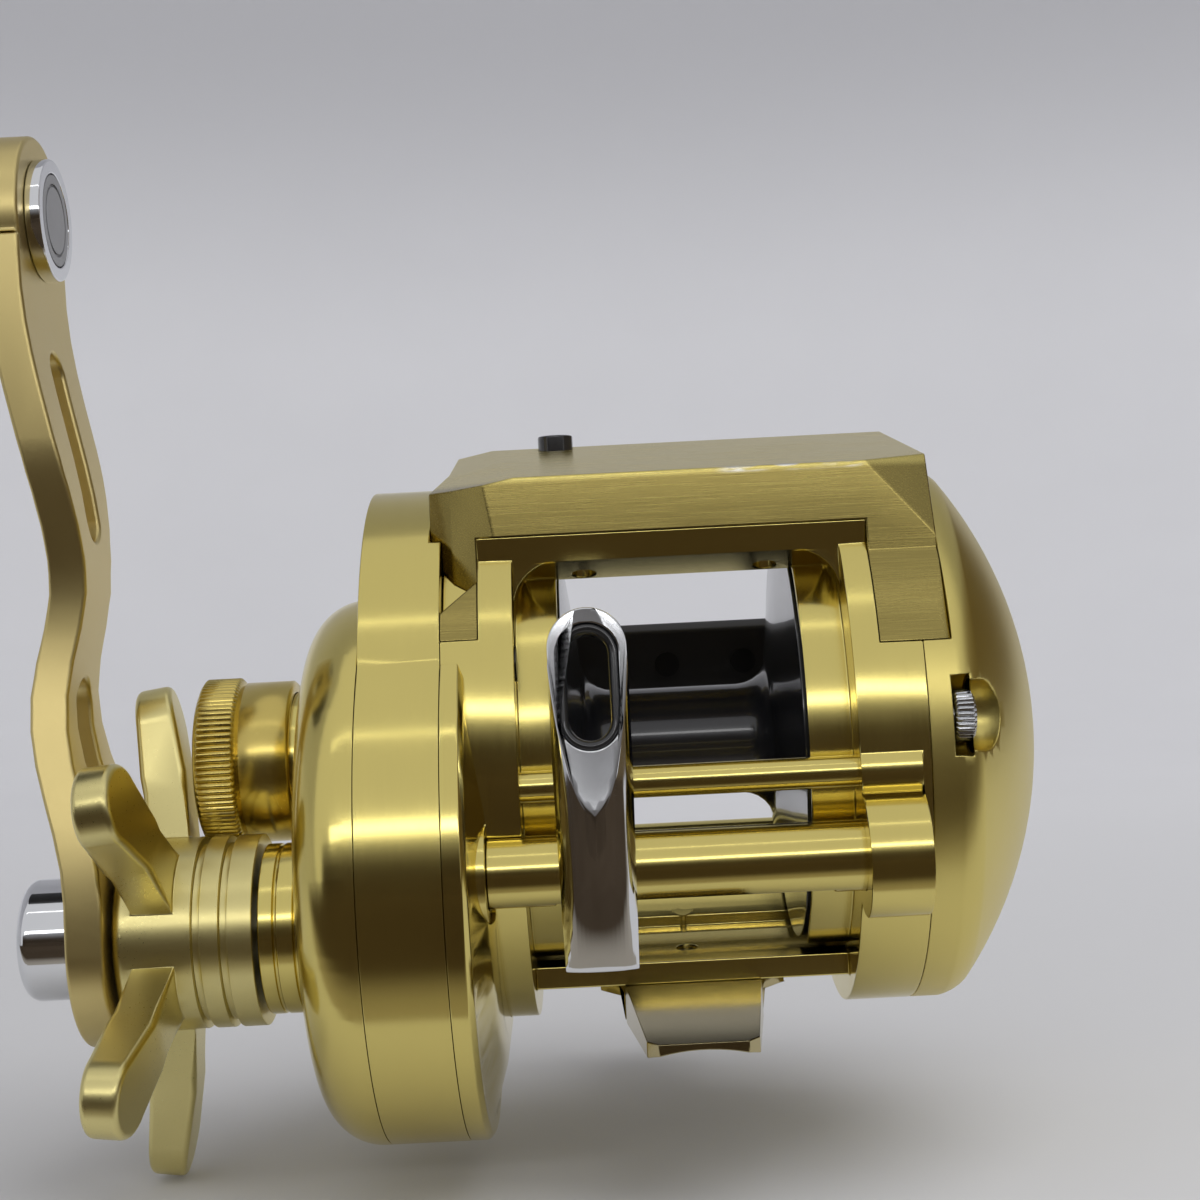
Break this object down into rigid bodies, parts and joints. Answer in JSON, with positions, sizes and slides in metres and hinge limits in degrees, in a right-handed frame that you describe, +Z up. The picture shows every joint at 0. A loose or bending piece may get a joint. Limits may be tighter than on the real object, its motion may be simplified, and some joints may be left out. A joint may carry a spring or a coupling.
{
  "type": "baitcasting reel",
  "caption": "Round baitcasting reel with a cranked power handle, star drag wheel, level-wind line guide, thumb bar and domed palm cover on a saddle foot.",
  "frame": {"origin": "on the underside of the reel foot, on its ridge, below the spool's axis", "axes": "+X along the spool's axis towards the palm cover, -Y towards the line guide, +Z up"},
  "size_m": [0.1197, 0.0671, 0.1024],
  "materials": {
    "gold": "satin gold anodising",
    "chrome": "polished",
    "plated_foot": "dark plating",
    "black_metal": "gloss black anodising",
    "black_screw": "blackened",
    "steel": "turned",
    "brass": "machined",
    "white_plastic": "moulded",
    "brown_plastic": "moulded",
    "drag_fibre": "woven fibre",
    "rubber": "plain",
    "ceramic": "polished",
    "knob_black": "fine grain",
    "grey_disc": "satin"
  },
  "bodies": {
    "frame": {"frame": "gold", "inner_case_plate": "gold", "gear_case": "gold", "gear_cover": "gold", "cover_screws": "steel", "case_screws": "black_screw", "top_hood": "gold", "hood_post": "black_metal", "hood_screws": "steel", "reel_foot": "plated_foot", "foot_screws": "steel", "worm_tube": "gold", "guide_bar": "gold", "worm_bushes": "brass", "drive_bush": "brass", "one_way_bearing": "steel", "drive_bearing": "steel", "gear_side_spool_bearing": "steel", "clutch_guide_pins": "steel"},
    "palm_side": {"palm_cover": "gold", "brake_race": "brass", "palm_side_spool_bearing": "steel", "cover_seal": "rubber"},
    "thumbscrew": {"cover_thumbscrew": "steel"},
    "spool_group": {"spool": "black_metal", "spool_shaft": "steel", "spool_pin": "steel", "brake_hub": "brown_plastic", "brake_shoes": "white_plastic"},
    "thumb_bar_group": {"thumb_bar": "black_metal", "thumb_bar_screws": "black_screw"},
    "cam": {"clutch_cam": "steel"},
    "yoke": {"clutch_yoke": "steel", "clutch_springs": "steel"},
    "pinion_group": {"pinion": "brass"},
    "crank": {"drive_shaft": "steel", "main_gear": "brass", "drag_washers": "drag_fibre", "drag_plates": "steel", "level_wind_gear": "white_plastic", "drive_sleeve": "steel", "handle_arm": "gold", "handle_nut": "chrome", "knob_post": "chrome", "knob_post_cap": "grey_disc"},
    "star": {"star_drag": "gold", "star_spring_washers": "steel"},
    "knob": {"handle_knob": "knob_black", "knob_bearings": "steel", "knob_cap": "gold"},
    "brake_knob": {"cast_knob": "gold", "cast_shim": "brass", "cast_knob_seal": "rubber"},
    "worm": {"worm_shaft": "steel", "worm_gear": "white_plastic"},
    "guide": {"line_guide": "chrome", "eye_ring": "ceramic", "pawl": "steel", "pawl_cap": "chrome"}
  },
  "joints": [
    {"name": "handle_turn", "type": "hinge", "parent": "frame", "child": "crank", "pos_m": [0, -0.0094, 0.00904], "axis": [1, 0, 0], "continuous": true},
    {"name": "spool_spin", "type": "hinge", "parent": "frame", "child": "spool_group", "pos_m": [0, 0, 0.0235], "axis": [1, 0, 0], "continuous": true},
    {"name": "star_turn", "type": "hinge", "parent": "crank", "child": "star", "pos_m": [0, -0.0094, 0.00904], "axis": [1, 0, 0], "range_deg": [-180, 180]},
    {"name": "knob_spin", "type": "hinge", "parent": "crank", "child": "knob", "pos_m": [0, -0.0094, 0.07424], "axis": [1, 0, 0], "continuous": true},
    {"name": "brake_knob_turn", "type": "hinge", "parent": "frame", "child": "brake_knob", "pos_m": [0, 0, 0.0235], "axis": [1, 0, 0], "range_deg": [-180, 180]},
    {"name": "worm_spin", "type": "hinge", "parent": "frame", "child": "worm", "pos_m": [0, -0.024, 0.01495], "axis": [1, 0, 0], "continuous": true},
    {"name": "guide_slide", "type": "slide", "parent": "frame", "child": "guide", "axis": [1, 0, 0], "range_m": [-0.0018, 0.0178]},
    {"name": "thumb_press", "type": "slide", "parent": "frame", "child": "thumb_bar_group", "axis": [0, 0, -1], "range_m": [0, 0.005], "stiffness_N_per_m": 200, "springref_m": -0.003},
    {"name": "cam_turn", "type": "hinge", "parent": "frame", "child": "cam", "pos_m": [0, 0, 0.0235], "axis": [1, 0, 0], "range_deg": [-13.8, 0]},
    {"name": "yoke_slide", "type": "slide", "parent": "frame", "child": "yoke", "axis": [-1, 0, 0], "range_m": [0, 0.0015]},
    {"name": "pinion_spin", "type": "hinge", "parent": "yoke", "child": "pinion_group", "pos_m": [0, 0, 0.0235], "axis": [1, 0, 0], "continuous": true},
    {"name": "palm_cover_pull", "type": "slide", "parent": "frame", "child": "palm_side", "axis": [1, 0, 0], "range_m": [0, 0.03]},
    {"name": "thumbscrew_turn", "type": "hinge", "parent": "palm_side", "child": "thumbscrew", "pos_m": [0, -0.0229, 0.0261], "axis": [1, 0, 0], "range_deg": [0, 720]}
  ],
  "couplings": [
    {"joint": "spool_spin", "follows": "handle_turn", "ratio": -4.75},
    {"joint": "pinion_spin", "follows": "handle_turn", "ratio": -4.75},
    {"joint": "worm_spin", "follows": "handle_turn", "ratio": -2.25},
    {"joint": "cam_turn", "follows": "thumb_press", "rad_per_m": -48.06},
    {"joint": "yoke_slide", "follows": "thumb_press", "ratio": 0.3}
  ]
}
